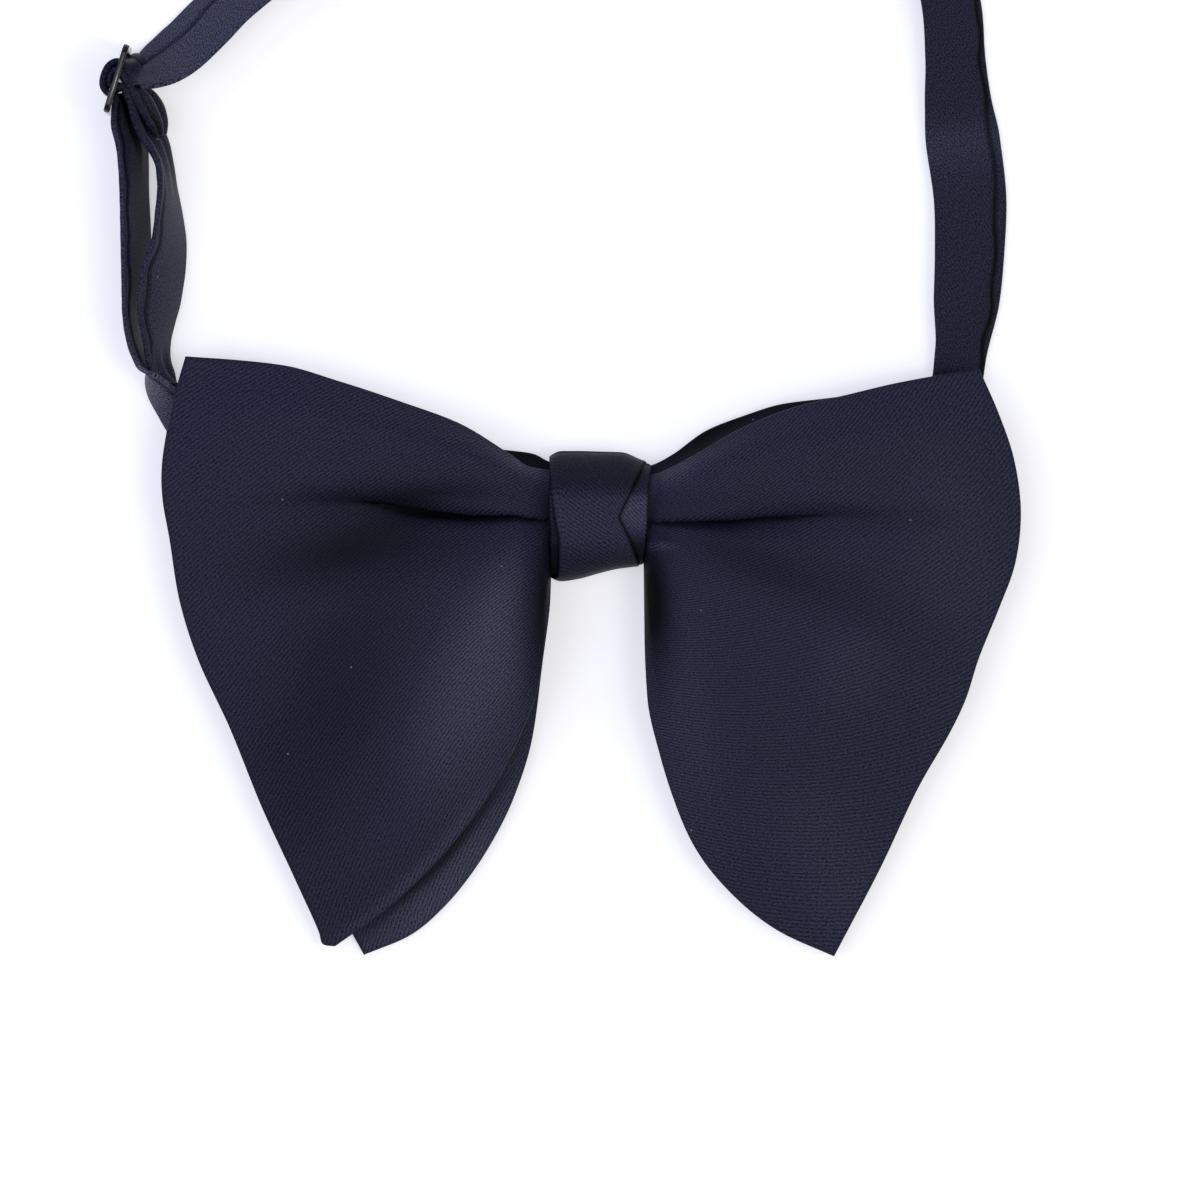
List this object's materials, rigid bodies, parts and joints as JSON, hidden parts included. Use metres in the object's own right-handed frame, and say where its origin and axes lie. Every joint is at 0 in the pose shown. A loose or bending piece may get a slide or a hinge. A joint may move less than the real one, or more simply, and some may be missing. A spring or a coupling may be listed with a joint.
{
  "type": "butterfly bow tie",
  "caption": "Large drooping pre-tied butterfly bow with a wrapped knot and an adjustable neck strap, lying on its back.",
  "frame": {"origin": "middle of the knot's flat back, on the surface that the bow tie lies on", "axes": "+Z off the surface, out of the bow's front; +Y from the bow towards the neck loop; +X along the bow to the right, seen from the front"},
  "size_m": [0.161, 0.2082, 0.0176],
  "materials": {
    "bow_satin": "navy twill-woven satin with a soft sheen",
    "knot_satin": "navy twill-woven satin, wrapped tight",
    "strap_satin": "navy satin tube, turned and slip-stitched",
    "slider_plastic": "glossy black moulded plastic"
  },
  "bodies": {
    "root": {"front_bow": "bow_satin", "rear_bow": "bow_satin", "knot": "knot_satin", "neck_strap": "strap_satin", "slide_adjuster": "slider_plastic"}
  },
  "joints": []
}
